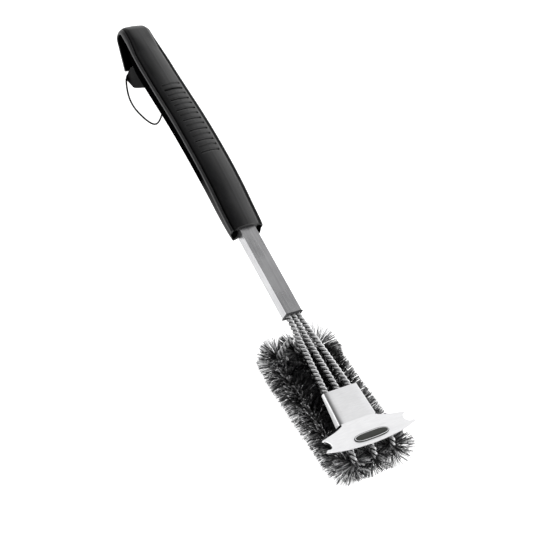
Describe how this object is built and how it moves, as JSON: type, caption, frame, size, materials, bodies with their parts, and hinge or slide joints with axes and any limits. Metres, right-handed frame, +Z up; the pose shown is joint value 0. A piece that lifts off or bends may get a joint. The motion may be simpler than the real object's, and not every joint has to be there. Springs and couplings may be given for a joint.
{
  "type": "grill cleaning brush",
  "caption": "Long-handled grill cleaning brush with twisted-wire bristle rolls, a notched scraper blade, a hooked channel handle and a swinging hang loop.",
  "frame": {"origin": "centre of the flat roof of the bracket that covers the three twisted wires, on its top face", "axes": "+X across the brush, +Y from the head to the handle along the shaft, +Z up, away from the bristles"},
  "size_m": [0.0936, 0.458, 0.0552],
  "materials": {
    "steel_bright": "bright satin stainless sheet",
    "steel_brushed": "stainless steel brushed lengthwise",
    "steel_wire": "drawn stainless wire",
    "bristle_steel": null,
    "handle_black": "matte black moulded plastic with a soft grain",
    "collar_dark": "matte dark plastic",
    "badge_dark": "dark satin, blank",
    "screw_zinc": "zinc plated"
  },
  "bodies": {
    "brush": {"scraper_bracket": "steel_bright", "badge_plate": "badge_dark", "clamp_plate": "steel_brushed", "shaft_tube": "steel_brushed", "shaft_collar": "collar_dark", "rod_left_a": "steel_wire", "rod_left_b": "steel_wire", "rod_middle_a": "steel_wire", "rod_middle_b": "steel_wire", "rod_right_a": "steel_wire", "rod_right_b": "steel_wire", "core_left": "steel_wire", "core_middle": "steel_wire", "core_right": "steel_wire", "tie_bar": "steel_wire", "bristles_left": "bristle_steel", "bristles_middle": "bristle_steel", "bristles_right": "bristle_steel", "handle_shell": "handle_black", "handle_screw_front": "screw_zinc", "handle_screw_rear": "screw_zinc"},
    "loop": {"hang_loop": "steel_wire"}
  },
  "joints": [
    {"name": "hang_loop_hinge", "type": "hinge", "parent": "brush", "child": "loop", "pos_m": [0, 0.362, -0.025], "axis": [1, 0, 0], "range_deg": [-45, 183]}
  ]
}
